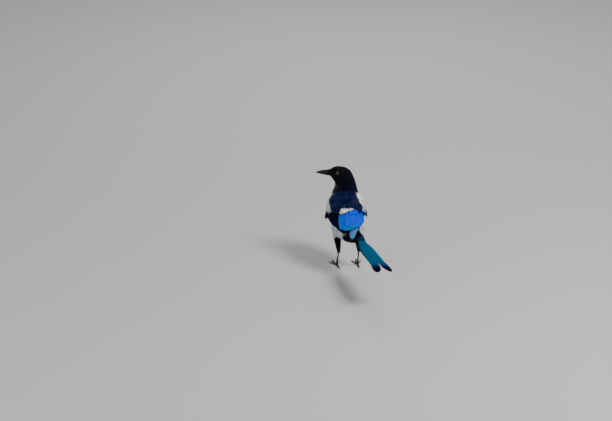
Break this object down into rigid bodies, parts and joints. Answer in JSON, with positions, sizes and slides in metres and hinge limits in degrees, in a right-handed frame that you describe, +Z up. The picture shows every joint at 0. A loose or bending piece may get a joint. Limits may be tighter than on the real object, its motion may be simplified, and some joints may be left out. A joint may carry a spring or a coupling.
{
  "type": "eurasian magpie",
  "caption": "Life-size still model of a Eurasian magpie standing on both feet, tail trailing level, head turned to look over its left side.",
  "frame": {"origin": "on the floor under the middle of the bird's box, which lies near the root of the tail", "axes": "+Z up, +Y the way the body heads, +X the bird's right side; the bill points to -X"},
  "size_m": [0.1046, 0.3537, 0.2207],
  "materials": {
    "plumage_dark": "black contour feathers with a faint blue and purple gloss",
    "plumage_body": "black mantle, breast and vent, white scapulars, flanks and belly",
    "plumage_wing": "glossy blue secondaries and tertials, black coverts and primaries",
    "plumage_tail": "glossy blue-green tail feathers with purple-black tips",
    "leg_skin": "black scaled skin",
    "claw": "smooth black horn",
    "bill": "satin black horn",
    "eye": "wet, very dark brown"
  },
  "bodies": {
    "root": {"head": "plumage_dark", "neck": "plumage_dark", "torso": "plumage_body", "wing_left": "plumage_wing", "wing_right": "plumage_wing", "tail": "plumage_tail", "thigh_left": "plumage_dark", "thigh_right": "plumage_dark", "shank_left": "leg_skin", "shank_right": "leg_skin", "foot_left": "leg_skin", "foot_right": "leg_skin", "eye_left": "eye", "eye_right": "eye", "bill_upper": "bill", "bill_lower": "bill", "claw_left_inner": "claw", "claw_left_middle": "claw", "claw_left_outer": "claw", "claw_left_hind": "claw", "claw_right_inner": "claw", "claw_right_middle": "claw", "claw_right_outer": "claw", "claw_right_hind": "claw"}
  },
  "joints": []
}
